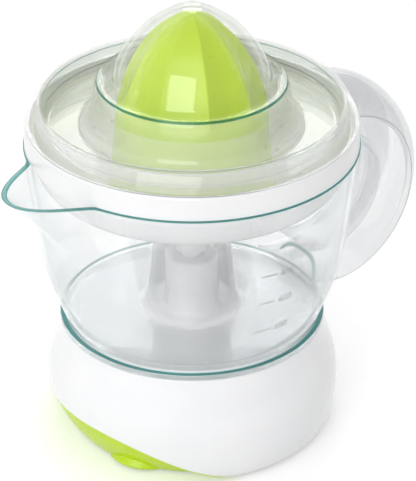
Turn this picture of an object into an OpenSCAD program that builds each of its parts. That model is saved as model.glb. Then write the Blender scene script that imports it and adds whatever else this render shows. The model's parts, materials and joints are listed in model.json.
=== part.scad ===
// Electric citrus press: motor base, clear jug with spout and handle, strainer, reamer and domed lid.
// Millimetres. Z is up, the origin is on the reamer's axis at the underside of the feet.
// The spout points to -X, the handle to +X and the plain front of the base to -Y.

/* [Base] */
// Radius of the base housing at its widest
base_r = 67.7; // [66:0.1:72]
// Height of the widest place of the base housing
base_wide_z = 21; // [18:0.5:26]
// Radius of the base housing at its lower edge
base_foot_r = 62.5; // [61:0.1:64]
// Radius of the base housing at its upper edge
base_top_r = 60.8; // [60:0.1:64]
// Height of the base housing's upper edge
base_h = 53; // [52:0.5:56]
// Wall of the base housing
base_wall = 2.4; // [1.6:0.1:3]
// Radius of the fixed tower that the jug drops over
tower_r = 12.3; // [11:0.1:13]
// Height of the tower's top
tower_top = 84; // [80:1:88]
// Height of the rubber feet below the base plate
foot_h = 1.5; // [1:0.1:3]
// Radius of a rubber foot
foot_r = 6; // [4:0.5:8]
// Distance of the feet from the axis
foot_ring_r = 46; // [40:1:48]
// Thickness of the base plate
plate_t = 2.5; // [2:0.1:3.5]

/* [Accent trim] */
// Height of the arch in the housing that shows the trim
arch_h = 21.5; // [16:0.5:26]
// Half width of the arch at the table
arch_half_w = 61; // [50:1:64]
// Squareness of the arch, where 2 is an ellipse
arch_power = 3; // [2:0.1:5]
// Radius of the trim's sloped face at the table
trim_foot_r = 56.5; // [55.5:0.5:60]
// Radius of the trim's sloped face at the top of the arch
trim_top_r = 66.2; // [64:0.1:66.6]
// How much the trim's face swells beyond a straight slope, as a share of its width
trim_swell = 0.7; // [0:0.05:0.9]
// Direction of the lens-shaped bump on the trim, from -X towards -Y
bump_angle = 27; // [0:1:35]

/* [Jug] */
// Radius of the jug at its rim
rim_r = 75; // [74:0.1:80]
// How far the jug's lower corner stands inside the base's upper edge
jug_corner_in = 2.2; // [1:0.1:3.8]
// Height of the rim above the jug's seat
jug_h = 88.3; // [84:0.1:96]
// Wall of the jug
jug_wall = 2.2; // [1.8:0.1:2.6]
// Height of the clear skirt below the jug's floor
jug_skirt_h = 2.7; // [2:0.1:4]
// Radius at the top of the jug's central tube
tube_top_r = 16.4; // [16:0.1:17.5]
// Radius at the foot of the jug's central tube
tube_foot_r = 21.8; // [20:0.1:24]

/* [Spout] */
// Reach of the spout beyond the rim
spout_reach = 23.3; // [15:0.1:28]
// Half angle that the spout spans at the rim
spout_half_angle = 24; // [18:1:30]
// Depth of the spout's keel below the rim
spout_depth = 40; // [30:1:50]

/* [Handle] */
// How far the handle's centre stands inside the jug's rim
handle_in = 2.8; // [1:0.1:5]
// Height of the handle's centre above the jug's seat
handle_z = 42.5; // [42:0.5:44]
// Radius of the handle's side edges
handle_edge_r = 41.8; // [40:0.1:42]
// Half width of the handle's outer band
handle_half_w = 21; // [14:0.5:22]
// Mean rise of the band's crown over its edges
handle_crown = 7.6; // [7.4:0.1:9]
// Extra rise of the crown at the top, which is lost at the bottom
handle_crown_lift = 7; // [5:0.1:7]
// Radius of the finger hole
finger_r = 28; // [24:0.5:30]
// Wall of the handle
handle_wall = 2.6; // [2:0.1:3.2]

/* [Strainer] */
// Height of the strainer's outer band
band_h = 10.6; // [8:0.1:14]
// Wall of the strainer
strainer_wall = 2.0; // [1.6:0.1:2.4]
// Depth of the strainer's bowl below the rim
bowl_depth = 24.6; // [20:0.1:26]
// How far the bowl's outer bend stands inside the jug's rim
bowl_in = 11; // [10:0.5:15]
// Number of slots in each of the strainer's rings
slot_count = 36; // [24:2:40]
// Width of a slot
slot_w = 1.8; // [1.2:0.1:2.2]

/* [Reamer] */
// Height of the large reamer
reamer_h = 84; // [78:0.5:85]
// Radius of the large reamer's lower edge
reamer_r = 38; // [37:0.1:39]
// Wall of the reamers
reamer_wall = 2.4; // [1.8:0.1:2.8]
// Number of ribs on each reamer
rib_count = 9; // [6:1:12]
// Depth of the flutes between the ribs, as a share of the radius
flute_share = 0.1; // [0.04:0.01:0.14]
// Direction of the first rib from +X
rib_turn = 6.75; // [0:0.25:40]

/* [Lid] */
// How far the dome's foot stands inside the sharp ledge
dome_in = 5.3; // [4:0.1:6]
// Height of the dome's apex above the lid's lower edge
lid_h = 54.5; // [54:0.1:62]
// Radius of the sharp ledge round the dome
ledge_r = 42; // [41:0.1:46]
// Height of that ledge above the lid's lower edge
ledge_h = 18.7; // [15:0.1:22]
// Wall of the lid
lid_wall = 2.0; // [1.6:0.1:2.2]

/* [Drive] */
// Radius of the spindle in its bearings
spindle_r = 5; // [4:0.1:5.5]
// Radius of the spindle's visible collar
collar_r = 7.9; // [7:0.1:8.5]
// Distance across the flats of the spindle's driving head
head_flats = 12; // [10:0.1:12.4]
// Downward travel of the pressed spindle
press_travel = 2; // [1:0.1:2]
// Teeth of the output gear
output_teeth = 60; // [56:1:60]
// Teeth of the small pinion on the idler and of the motor pinion
pinion_teeth = 12; // [12:1:13]
// Teeth of the idler's large wheel
idler_teeth = 52; // [48:1:52]
// Module of the output gear and the idler's small pinion
output_module = 1.0; // [0.95:0.01:1.02]
// Module of the idler's large wheel and the motor pinion
motor_module = 0.75; // [0.7:0.01:0.76]
// Direction of the motor's shaft from +X
motor_angle = 75; // [70:1:80]
// Height from the gear deck's underside to the base housing's upper edge, which the gears take up
gear_room = 23.5; // [23:0.1:25]
// Height from the motor's iron to the gear deck, which its upper bracket takes up
bracket_room = 6.5; // [6.3:0.1:8]
// Height from the thrust cup's top to the gear deck's underside
cup_drop = 4.9; // [4:0.1:6]
// Distance of the motor's shaft from the axis
motor_r = 30; // [29:0.1:31]

/* [Fits] */
// Gap between pieces that lift off or move apart
seat_gap = 0.3; // [0.2:0.05:0.5]
// Radial clearance of a running fit
run_gap = 0.05; // [0.02:0.01:0.1]
// Gap between fixed pieces that sit in one another
fit_gap = 0.1; // [0.05:0.01:0.2]

/* [Hidden] */
$fn = 96;
eps = 0.01;

lime = [0.74, 0.89, 0.22];
white = [0.95, 0.95, 0.95];
clear = [0.82, 0.93, 0.92, 0.45];
steel = [0.72, 0.73, 0.75];
copper = [0.78, 0.45, 0.25];
nylon = [0.9, 0.89, 0.84];
brass = [0.8, 0.68, 0.35];
rubber = [0.25, 0.25, 0.26];
black = [0.12, 0.12, 0.13];

// Levels inside the base
plate_top = foot_h + plate_t;
// The deck hangs below the housing's upper edge, and the motor and the spindle's cup hang below the deck
deck_z = base_h - gear_room;
deck_t = 2.5;
deck_top = deck_z + deck_t;
deck_r = 51;
gear_gap = 1.5;
plateau_h = 2.2;
tower_fillet = 4;
// Rings that the jug and the lid share with what they sit on
skirt_w = 4;
skirt_r = base_top_r - skirt_w;
plateau_r = skirt_r - 1.3;
jug_corner_r = base_top_r - jug_corner_in;
handle_x = rim_r - handle_in;
bowl_r = rim_r - bowl_in;
dome_r = ledge_r - dome_in;
jug_seat = base_h + seat_gap;
jug_floor_z = jug_seat + jug_skirt_h;
jug_rim_z = jug_seat + jug_h;
bowl_z = jug_rim_z - bowl_depth;
tube_top_z = bowl_z - strainer_wall - seat_gap;

// A point of a smooth curve from b to c, which follows on from a and leads on to d
function bend(a, b, c, d, t) =
    0.5 * (2 * b + (c - a) * t + (2 * a - 5 * b + 4 * c - d) * t * t + (3 * b - a - 3 * c + d) * t * t * t);

// Points of a smooth curve through the points p, with n steps between each two
function smooth(p, n) = [
    for (i = [0 : len(p) - 2], j = [0 : n - 1])
        bend(p[max(i - 1, 0)], p[i], p[i + 1], p[min(i + 2, len(p) - 1)], j / n),
    p[len(p) - 1]
];
function reverse(p) = [for (i = [len(p) - 1 : -1 : 0]) p[i]];
function unit(v) = v / norm(v);
// The outline p moved by d to the left of the way that it runs
function beside(p, d) = [
    for (i = [0 : len(p) - 1])
        let (v = unit(p[min(i + 1, len(p) - 1)] - p[max(i - 1, 0)]))
        p[i] + d * [-v.y, v.x]
];
function middle(p) = [for (k = [0 : 2]) let (v = [for (q = p) q[k]]) v * [for (q = p) 1] / len(p)];
// A skin over rings of points, which run counter-clockwise when looked at from beyond the last ring.
// Each end is closed by a fan round its middle or, where the ring is the two sides of a strip, by a band
module skin(rings, strip = false) {
    n = len(rings[0]);
    m = len(rings);
    last = (m - 1) * n;
    polyhedron(
        points = concat([for (ring = rings) each ring], [middle(rings[0])], [middle(rings[m - 1])]),
        faces = concat(
            [for (k = [0 : m - 2], i = [0 : n - 1], h = [0, 1])
                let (a = k * n + i, b = k * n + (i + 1) % n)
                h == 0 ? [a, b + n, b] : [a, a + n, b + n]],
            strip
            ? [for (i = [0 : n / 2 - 2], h = [0, 1], f = [0, last])
                let (a = f + i, b = a + 1, c = f + n - 2 - i, d = c + 1)
                f == 0 ? (h == 0 ? [a, b, c] : [a, c, d]) : (h == 0 ? [a, c, b] : [a, d, c])]
            : concat(
                [for (i = [0 : n - 1]) [i, (i + 1) % n, m * n]],
                [for (i = [0 : n - 1]) [last + (i + 1) % n, last + i, m * n + 1]]
            )
        ),
        convexity = 8
    );
}
// A ring from radius r1 to radius r2
module tube(r1, r2, z, h) {
    translate([0, 0, z])
        difference() {
            cylinder(r = r2, h = h);
            translate([0, 0, -1])
                cylinder(r = r1, h = h + 2);
        }
}
module at_polar(r, angles) {
    for (a = angles)
        translate([r * cos(a), r * sin(a), 0])
            children();
}

// ---------------------------------------------------------------- base

// Radius of the base housing's outside at a height
function base_side(z) = z < base_wide_z
    ? base_foot_r + (base_r - base_foot_r) * sqrt(1 - pow((base_wide_z - z) / (base_wide_z - foot_h), 2))
    : let (t = (z - base_wide_z) / (base_h - base_wide_z))
        base_top_r + (base_r - base_top_r) * (1 + cos(180 * pow(t, 1.3))) / 2;
base_levels = [
    for (a = [0 : 15 : 75]) base_wide_z - (base_wide_z - foot_h) * cos(a),
    for (i = [0 : 12]) base_wide_z + (base_h - base_wide_z) * i / 12
];
base_side_points = [for (z = base_levels) [base_side(z), z]];
boss_r = 3.4;
screw_r = 1.5;
base_boss_r = 50.8;
base_boss_angles = [100, 190, 270, 345];
deck_boss_r = 42;
deck_boss_angles = [110, 150, 240, 300];
cord_z = 13;
cord_hole_r = 4.6;
bush_z = 70;
bush_r = 7;
// The tower closes over the bush, which is pressed in from below
tower_lip = 1.6;
tower_lip_gap = 0.5;

// The arch's outline in Y and Z, drawn in by d all round
function arch_outline(d) = let (w = arch_half_w - d, h = arch_h - foot_h - d) concat(
    [for (i = [-20 : 20]) let (y = w * sin(i * 4.5)) [y, foot_h + h * (1 - pow(abs(y / w), arch_power))]],
    [[w, -5], [-w, -5]]
);
module arch(d) {
    rotate([90, 0, -90])
        linear_extrude(base_r + 5)
            polygon([for (p = arch_outline(d)) [-p.x, p.y]]);
}
module base_solid() {
    rotate_extrude()
        polygon(concat(
            base_side_points,
            [[base_top_r - 1.2, base_h + 0.2], [plateau_r + 0.8, base_h + 0.2]],
            [[plateau_r, base_h + plateau_h], [0, base_h + plateau_h], [0, foot_h]]
        ));
}
module base_hollow() {
    rotate_extrude()
        polygon(concat(
            [for (p = base_side_points) if (p.y < base_h - 4) [p.x - base_wall, p.y]],
            [[plateau_r - 2.5, base_h - base_wall + 0.5], [0, base_h - base_wall + 0.5]],
            [[0, foot_h - 1], [base_foot_r - base_wall, foot_h - 1]]
        ));
}
module base_housing() {
    color(white) {
        difference() {
            union() {
                base_solid();
                rotate_extrude()
                    polygon(concat(
                        [[0, base_h], [tower_r + tower_fillet + 1, base_h + plateau_h - 0.5]],
                        [for (a = [0 : 15 : 90])
                            [tower_r, base_h + plateau_h] + tower_fillet * [1 - sin(a), 1 - cos(a)]],
                        [[tower_r, tower_top - 1.5], [tower_r - 0.5, tower_top - 0.4]],
                        [[tower_r - 1.5, tower_top], [0, tower_top]]
                    ));
            }
            base_hollow();
            translate([0, 0, base_h - 8])
                cylinder(r = tower_r - base_wall, h = bush_z - base_h + 8);
            cylinder(r = bush_r + fit_gap, h = tower_top - tower_lip);
            cylinder(r = spindle_r + tower_lip_gap, h = tower_top + 1);
            arch(0);
            translate([0, 0, cord_z])
                rotate([-90, 0, 0])
                    cylinder(r = cord_hole_r, h = base_r + 10);
        }
        base_bosses();
    }
}
// The posts inside the housing, for the base plate's screws and the gear deck's screws
module base_bosses() {
    difference() {
        union() {
            at_polar(base_boss_r, base_boss_angles)
                translate([0, 0, plate_top + fit_gap])
                    cylinder(r = boss_r, h = base_h - base_wall + 0.6 - plate_top - fit_gap, $fn = 48);
            at_polar(deck_boss_r, deck_boss_angles)
                translate([0, 0, deck_top + fit_gap])
                    cylinder(r = boss_r, h = base_h - base_wall + 0.6 - deck_top - fit_gap, $fn = 48);
        }
        at_polar(base_boss_r, base_boss_angles)
            cylinder(r = screw_r, h = plate_top + 12, $fn = 48);
        at_polar(deck_boss_r, deck_boss_angles)
            cylinder(r = screw_r, h = deck_top + 9, $fn = 48);
    }
}

// Radius of the trim's face, which swells on its way up
function trim_r(z) = let (t = (z - foot_h) / (arch_h - foot_h))
    trim_foot_r + (trim_top_r - trim_foot_r) * (t + trim_swell * t * (1 - t));
trim_levels = [for (i = [0 : 6]) foot_h + (arch_h - foot_h) * i / 6];
// The crescent: a sloped face set back under the arch, with a return to the housing along the arch's edge
module accent_trim() {
    bump_z = foot_h + 3;
    bump_h = 12;
    color(lime) {
        intersection() {
            arch(fit_gap);
            rotate_extrude()
                polygon(concat(
                    [for (z = trim_levels) [trim_r(z), z]],
                    [for (z = reverse(trim_levels)) [trim_r(z) - base_wall, z]]
                ));
        }
        difference() {
            intersection() {
                arch(fit_gap);
                rotate_extrude()
                    polygon(concat(
                        [for (p = base_side_points) if (p.y < arch_h) [p.x - 0.8, p.y]],
                        [[base_side(arch_h) - 0.8, arch_h]],
                        [for (z = reverse(trim_levels)) [trim_r(z) - 1, z]]
                    ));
            }
            arch(2);
        }
        intersection() {
            arch(2.5);
            rotate([0, 0, 180 + bump_angle])
                translate([trim_r(bump_z) - 13.2, 0, bump_z - 2.5])
                    rotate([0, 32, 0])
                        rotate_extrude()
                            intersection() {
                                translate([-5, 0])
                                    circle(r = 21);
                                translate([0, -4])
                                    square([30, 12]);
                            }
            rotate_extrude()
                polygon(concat(
                    [[base_r + 5, foot_h], [base_r + 5, foot_h + bump_h]],
                    [for (z = [foot_h + bump_h : -bump_h / 4 : foot_h]) [trim_r(z) - 1, z]]
                ));
        }
    }
}

module base_plate() {
    color(white)
        difference() {
            union() {
                translate([0, 0, foot_h])
                    cylinder(r = base_foot_r - base_wall - fit_gap, h = plate_t);
                spring_post();
                switch_cradle();
            }
            difference() {
                arch(-fit_gap);
                cylinder(r = trim_foot_r - base_wall - fit_gap, h = 60);
            }
            at_polar(foot_ring_r, foot_angles)
                cylinder(r = foot_r + fit_gap, h = foot_h + foot_sink);
            at_polar(base_boss_r, base_boss_angles)
                cylinder(r = screw_r + 0.3, h = plate_top + 1, $fn = 48);
            at_polar(base_boss_r, base_boss_angles)
                cylinder(r = 3.1, h = foot_h + 1.2, $fn = 48);
            vent_slots();
        }
}
foot_angles = [45, 135, 225, 315];
foot_sink = 1.2;
module vent_slots() {
    for (i = [-3 : 3])
        translate([i * 6 - 1, -40, -1])
            cube([2, 22, plate_top + 2]);
}
module foot_pads() {
    color(rubber)
        at_polar(foot_ring_r, foot_angles)
            rotate_extrude($fn = 48)
                polygon([
                    [0, 0], [foot_r - 0.8, 0], [foot_r, 0.8],
                    [foot_r, foot_h + foot_sink], [0, foot_h + foot_sink]
                ]);
}
// A pan-head screw, head down, with its head's underside at z = 0
module screw(r, len, head_r, head_h) {
    translate([0, 0, -head_h])
        difference() {
            union() {
                cylinder(r = head_r, h = head_h, $fn = 48);
                cylinder(r = r, h = head_h + len, $fn = 48);
            }
            for (a = [0, 90])
                rotate([0, 0, a])
                    translate([-head_r * 0.6, -0.3, -1])
                        cube([head_r * 1.2, 0.6, 1.7]);
        }
}
module base_screws() {
    color(steel)
        at_polar(base_boss_r, base_boss_angles)
            translate([0, 0, foot_h + 1.2])
                screw(screw_r - 0.02, 12, 2.9, 1.1);
}
module cord_grommet() {
    back = sqrt(pow(base_side(cord_z), 2) - 36);
    color(rubber)
        translate([0, 0, cord_z])
            rotate([-90, 0, 0])
                difference() {
                    union() {
                        translate([0, 0, back - 5.5])
                            cylinder(r = cord_hole_r - fit_gap, h = 9, $fn = 48);
                        translate([0, 0, back + 1.3])
                            cylinder(r1 = 6, r2 = 5.4, h = 1.8, $fn = 48);
                        translate([0, 0, back - 6])
                            cylinder(r = 6, h = 2, $fn = 48);
                    }
                    translate([0, 0, back - 10])
                        cylinder(r = 2.8, h = 20, $fn = 48);
                }
}

// ---------------------------------------------------------------- gears and motor

pressure_angle = 25;
addendum = 0.85;
dedendum = 1.15;
backlash = 0.12;
function inv(a) = tan(a) * 180 / PI - a;
// Half the angle that a tooth spans at radius r
function tooth_half(m, teeth, r) =
    let (pitch_r = m * teeth / 2, base_c = pitch_r * cos(pressure_angle))
    90 / teeth - backlash / pitch_r * 90 / PI + inv(pressure_angle) - inv(acos(min(1, base_c / r)));
module gear_2d(m, teeth, phase) {
    pitch_r = m * teeth / 2;
    radii = [pitch_r - dedendum * m, pitch_r - 0.3 * m, pitch_r + 0.3 * m, pitch_r + addendum * m];
    polygon([
        for (i = [0 : teeth - 1])
            let (a = phase + i * 360 / teeth)
            each concat(
                [for (r = radii) let (t = a - tooth_half(m, teeth, r)) r * [cos(t), sin(t)]],
                [for (r = reverse(radii)) let (t = a + tooth_half(m, teeth, r)) r * [cos(t), sin(t)]]
            )
    ]);
}
output_reach = output_module * (output_teeth + pinion_teeth) / 2;
idler_reach = motor_module * (idler_teeth + pinion_teeth) / 2;
// The idler stands where both its meshes are at their right distance
idler_angle = motor_angle
    - acos((pow(output_reach, 2) + pow(motor_r, 2) - pow(idler_reach, 2)) / (2 * output_reach * motor_r));
idler_pos = output_reach * [cos(idler_angle), sin(idler_angle)];
motor_pos = motor_r * [cos(motor_angle), sin(motor_angle)];
motor_from_idler = atan2(motor_pos.y - idler_pos.y, motor_pos.x - idler_pos.x);

wheel_z = deck_top + gear_gap;
wheel_t = 3.5;
output_z = wheel_z + wheel_t + press_travel + 2;
output_t = 5.5;
idler_top = output_z + output_t + 1.5;
axle_r = 1.6;
rotor_r = 10.4;
stack_z = 11;
stack_t = deck_z - stack_z - bracket_room;
stator_gap = 0.5;
bracket_t = 2;
bracket_gap = 0.5;
motor_screw_at = [[12, -12.5], [-14, 12.5]];
// The motor's iron, from the rotor's axis: a yoke round the rotor, and a core that the coil is wound on
iron_half_w = 16;
yoke_front = 16;
yoke_back = 18;
core_w = 10;
core_x = -yoke_back - core_w - 5;
core_half_len = 8;
iron_back = core_w / 2 - core_x;
shading_w = 5;
bobbin_wall = 0.8;
coil_t = 2.7;

module motor_frame(z) {
    translate([motor_pos.x, motor_pos.y, z])
        children();
}
module gear_deck() {
    color(nylon)
        difference() {
            union() {
                translate([0, 0, deck_z])
                    cylinder(r = deck_r, h = deck_t);
                translate([0, 0, cup_top - 2.6])
                    cylinder(r = cup_r + seat_gap + 1.6, h = deck_z - cup_top + 2.6 + eps);
                motor_frame(deck_z - 3.4)
                    for (p = motor_screw_at)
                        translate(p)
                            cylinder(r = 3, h = 3.4 + eps, $fn = 48);
                translate([idler_pos.x, idler_pos.y, deck_top - eps])
                    cylinder(r = 4, h = gear_gap - seat_gap, $fn = 48);
            }
            cylinder(r = spindle_r + run_gap, h = deck_top + 1);
            translate([0, 0, cup_top - 3])
                cylinder(r = cup_r + seat_gap, h = deck_z - cup_top + 2.4);
            motor_frame(0) {
                cylinder(r = 3.2, h = deck_top + 1, $fn = 48);
                for (p = motor_screw_at)
                    translate(p)
                        cylinder(r = screw_r, h = deck_top + 1, $fn = 48);
            }
            translate(idler_pos)
                cylinder(r = axle_r, h = deck_top + 5, $fn = 48);
            at_polar(deck_boss_r, deck_boss_angles)
                cylinder(r = screw_r + 0.3, h = deck_top + 1, $fn = 48);
            at_polar(base_boss_r, base_boss_angles)
                cylinder(r = boss_r + 0.6, h = deck_top + 1, $fn = 48);
            for (a = [170 : 20 : 330])
                rotate([0, 0, a])
                    translate([16, -2, 0])
                        cube([18, 4, deck_top + 1]);
        }
}
module deck_screws() {
    color(steel)
        at_polar(deck_boss_r, deck_boss_angles)
            translate([0, 0, deck_z])
                screw(screw_r - 0.02, deck_t + 7, 2.8, 1.6);
}
module spindle_bush() {
    color(brass)
        tube(spindle_r + run_gap, bush_r, bush_z, tower_top - tower_lip - bush_z - fit_gap);
}
module stator_outline() {
    difference() {
        translate([-yoke_back, -iron_half_w])
            square([yoke_back + yoke_front, 2 * iron_half_w]);
        circle(r = rotor_r + stator_gap);
        translate([rotor_r - 1, -0.75])
            square([9, 1.5]);
        translate([-rotor_r - 8, -0.75])
            square([9, 1.5]);
    }
    difference() {
        translate([-iron_back, -iron_half_w])
            square([iron_back - yoke_back + 1, 2 * iron_half_w]);
        translate([core_x + core_w / 2, -core_half_len])
            square([-yoke_back - core_x - core_w / 2 + eps, 2 * core_half_len]);
    }
}
module motor_stator() {
    color(steel)
        motor_frame(stack_z)
            difference() {
                linear_extrude(stack_t)
                    stator_outline();
                for (p = motor_screw_at)
                    translate([p.x, p.y, -1])
                        cylinder(r = screw_r + 0.2, h = stack_t + 2, $fn = 48);
            }
}
module shading_rings() {
    color(copper)
        motor_frame(stack_z)
            for (s = [-1, 1])
                translate([s * 8.5, s * 11.6, 0])
                    for (z = [-0.9, stack_t + 0.1])
                        translate([-shading_w / 2, -1, z])
                            cube([shading_w, 2, 0.8]);
}
coil_half = core_half_len - 0.4;
module coil_bobbin() {
    color(nylon)
        motor_frame(stack_z)
            difference() {
                translate([core_x, 0, stack_t / 2])
                    union() {
                        cube([core_w, 2 * coil_half, stack_t] + 2 * bobbin_wall * [1, 0, 1], center = true);
                        for (s = [-1, 1])
                            translate([0, s * (coil_half - 0.5), 0])
                                cube([core_w + 8, 1, stack_t + 8], center = true);
                    }
                translate([core_x, 0, stack_t / 2])
                    cube([core_w + 2 * fit_gap, 2 * coil_half + 2, stack_t + 2 * fit_gap], center = true);
            }
}
coil_in = [core_w, stack_t] + 2 * (bobbin_wall + fit_gap) * [1, 1];
module motor_coil() {
    color(copper)
        motor_frame(stack_z)
            translate([core_x, coil_half - 1.1, stack_t / 2])
                rotate([90, 0, 0])
                    linear_extrude(2 * coil_half - 2.2)
                        difference() {
                            square([coil_in.x + 2 * coil_t, coil_in.y + 2 * coil_t], center = true);
                            square(coil_in, center = true);
                        }
}
module motor_brackets() {
    color(steel)
        motor_frame(0)
            for (z = [stack_z - bracket_gap - bracket_t - 1, stack_z + stack_t + bracket_gap + 0.6])
                translate([0, 0, z])
                    difference() {
                        union() {
                            for (p = motor_screw_at)
                                translate([p.x, p.y, 0])
                                    cylinder(r = 4, h = bracket_t, $fn = 48);
                            rotate([0, 0, atan2(motor_screw_at[0].y, motor_screw_at[0].x)])
                                translate([-19, -4, 0])
                                    cube([36, 8, bracket_t]);
                            cylinder(r = 6, h = bracket_t);
                        }
                        translate([0, 0, -1])
                            cylinder(r = axle_r + run_gap, h = bracket_t + 2, $fn = 48);
                        for (p = motor_screw_at)
                            translate([p.x, p.y, -1])
                                cylinder(r = screw_r + 0.2, h = bracket_t + 2, $fn = 48);
                    }
}
module motor_screws() {
    color(steel)
        motor_frame(stack_z - bracket_gap - bracket_t - 1)
            for (p = motor_screw_at)
                translate(p)
                    screw(screw_r - 0.02, deck_top - stack_z + 3, 2.8, 1.6);
}
module motor_rotor() {
    color(steel)
        motor_frame(stack_z)
            difference() {
                union() {
                    cylinder(r = rotor_r, h = stack_t);
                    tube(rotor_r - 4, rotor_r - 1, -0.8, stack_t + 1.6);
                }
                translate([0, 0, -1])
                    cylinder(r = axle_r, h = stack_t + 2, $fn = 48);
            }
}
module motor_shaft() {
    color(steel)
        motor_frame(stack_z - 5)
            cylinder(r = axle_r - 0.01, h = wheel_z + wheel_t + 2 - stack_z + 5, $fn = 48);
}
module motor_pinion() {
    color(brass)
        motor_frame(wheel_z - 0.5)
            linear_extrude(wheel_t + 1.5)
                difference() {
                    gear_2d(motor_module, pinion_teeth, motor_from_idler + 180 + 180 / pinion_teeth);
                    circle(r = axle_r);
                }
}
module idler_pin() {
    color(steel)
        translate([idler_pos.x, idler_pos.y, deck_z])
            cylinder(r = axle_r - 0.01, h = idler_top + 0.8 - deck_z, $fn = 48);
}
module idler_gear() {
    color(nylon)
        translate([idler_pos.x, idler_pos.y, wheel_z])
            difference() {
                union() {
                    linear_extrude(wheel_t)
                        gear_2d(motor_module, idler_teeth, motor_from_idler);
                    linear_extrude(idler_top - wheel_z)
                        gear_2d(output_module, pinion_teeth, idler_angle + 180 + 180 / pinion_teeth);
                }
                translate([0, 0, -1])
                    cylinder(r = axle_r + run_gap, h = 30, $fn = 48);
                at_polar(12.5, [0 : 60 : 300])
                    translate([0, 0, -1])
                        cylinder(r = 3.2, h = wheel_t + 2, $fn = 48);
            }
}
module output_gear() {
    color(nylon)
        difference() {
            union() {
                translate([0, 0, output_z])
                    linear_extrude(output_t)
                        gear_2d(output_module, output_teeth, idler_angle);
                translate([0, 0, output_z - 1])
                    cylinder(r = 10, h = output_t + 3);
            }
            translate([0, 0, output_z - 2])
                cylinder(r = spindle_r + fit_gap, h = output_t + 6);
            at_polar(18.5, [0 : 60 : 300])
                translate([0, 0, output_z - 2])
                    cylinder(r = 5.5, h = output_t + 4);
        }
}

// ---------------------------------------------------------------- pressed spindle

cup_r = 7.5;
cup_top = deck_z - cup_drop;
cup_h = 4.6;
spring_r = 5.3;
spring_wire_r = 0.5;
spring_turns = 5;
spring_z = plate_top + spring_wire_r + fit_gap;
spring_h = cup_top - cup_h - spring_z - spring_wire_r - fit_gap;
switch_w = 6.4;
switch_len = 20;
switch_x = -32;
switch_h = 11;
head_z = 124;
head_h = 22;
collar_z = tower_top + press_travel + 0.4;
clip_h = 1;
module spring_post() {
    translate([0, 0, plate_top - eps])
        cylinder(r = spring_r - 1.2, h = 6);
}
module switch_cradle() {
    for (s = [-1, 1])
        translate([switch_x - 1, s * (switch_w / 2 + 0.9) - 0.8, plate_top - eps])
            cube([switch_len + 2, 1.6, 6]);
}
module thrust_cup() {
    color(nylon) {
        translate([0, 0, cup_top - cup_h])
            cylinder(r = cup_r, h = cup_h);
        translate([0, 0, cup_top - cup_h - 5])
            cylinder(r = spring_r - 1.2, h = 5 + eps);
        translate([switch_x + 10, -2.5, cup_top - cup_h])
            cube([-switch_x - 14, 5, 1.5]);
    }
}
module return_spring() {
    steps = 14;
    sides = 6;
    color(steel)
        skin([
            for (i = [0 : spring_turns * steps])
                let (a = i * 360 / steps, z = spring_z + spring_h * i / (spring_turns * steps))
                [for (k = [0 : sides - 1])
                    let (r = spring_r + spring_wire_r * cos(k * 360 / sides))
                    [r * cos(a), r * sin(a), z - spring_wire_r * sin(k * 360 / sides)]]
        ]);
}
module press_switch() {
    color(black) {
        translate([switch_x, -switch_w / 2, plate_top + fit_gap])
            cube([switch_len, switch_w, switch_h]);
        translate([switch_x + switch_len * 0.7, 0, plate_top + switch_h - eps])
            cylinder(r = 1.2, h = cup_top - cup_h - press_travel - 0.3 - plate_top - switch_h, $fn = 48);
    }
}
module drive_spindle() {
    color(white) {
        translate([0, 0, cup_top + 0.2])
            cylinder(r = spindle_r, h = tower_top + press_travel + 2 - cup_top);
        translate([0, 0, collar_z])
            rotate_extrude()
                polygon([
                    [0, 0], [collar_r - 0.6, 0], [collar_r, 0.6], [collar_r, head_z - collar_z - 2.6],
                    [head_flats / 2, head_z - collar_z + 0.4], [0, head_z - collar_z + 0.4]
                ]);
        translate([0, 0, head_z - 1])
            cylinder(r = head_flats / 2 / cos(30), h = head_h, $fn = 6);
    }
}
module spindle_clip() {
    color(steel)
        difference() {
            tube(spindle_r + run_gap, spindle_r + 2.4, bush_z - seat_gap - clip_h, clip_h);
            translate([0, -1, bush_z - 5])
                cube([20, 2, 10]);
        }
}

// ---------------------------------------------------------------- jug

// The jug's outside from its lower corner to its rim, which flares by the share s on the way
function jug_flare(s) = jug_corner_r + (rim_r - jug_corner_r) * s;
jug_side = smooth([
    [jug_corner_r, jug_floor_z], [jug_flare(0.195), jug_floor_z + 10],
    [jug_flare(0.573), jug_floor_z + 29], [jug_flare(0.829), jug_rim_z - 26], [rim_r, jug_rim_z]
], 5);
// The outside of the central tube, from its foot to its top
tube_side = smooth([
    [tube_foot_r + 3, jug_floor_z + jug_wall], [tube_foot_r - 1, jug_floor_z + 5],
    [(tube_foot_r + tube_top_r) / 2 - 0.8, jug_floor_z + 26], [tube_top_r, tube_top_z]
], 4);
function tube_r(z) = lookup(z, [for (p = tube_side) [p.y, p.x]]);
module jug_outside() {
    rotate_extrude()
        polygon(concat(
            [[0, jug_floor_z], [skirt_r, jug_floor_z], [skirt_r, jug_seat]],
            [[base_top_r - 0.6, jug_seat], [base_top_r, jug_seat + 0.6]],
            [[base_top_r, jug_floor_z - 0.6], [base_top_r - 0.5, jug_floor_z - 0.1]],
            jug_side, [[0, jug_rim_z]]
        ));
}
module jug_inside() {
    wall = beside(jug_side, jug_wall);
    corner_r = 3;
    corner = [jug_corner_r - jug_wall - corner_r, jug_floor_z + jug_wall + corner_r];
    rotate_extrude()
        polygon(concat(
            tube_side, [[0, tube_top_z], [0, jug_rim_z + 5], [rim_r - jug_wall, jug_rim_z + 5]],
            reverse([for (p = wall) if (p.y > corner.y) p]),
            [for (a = [0 : 30 : 90]) corner + corner_r * [cos(a), -sin(a)]]
        ));
}
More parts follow.
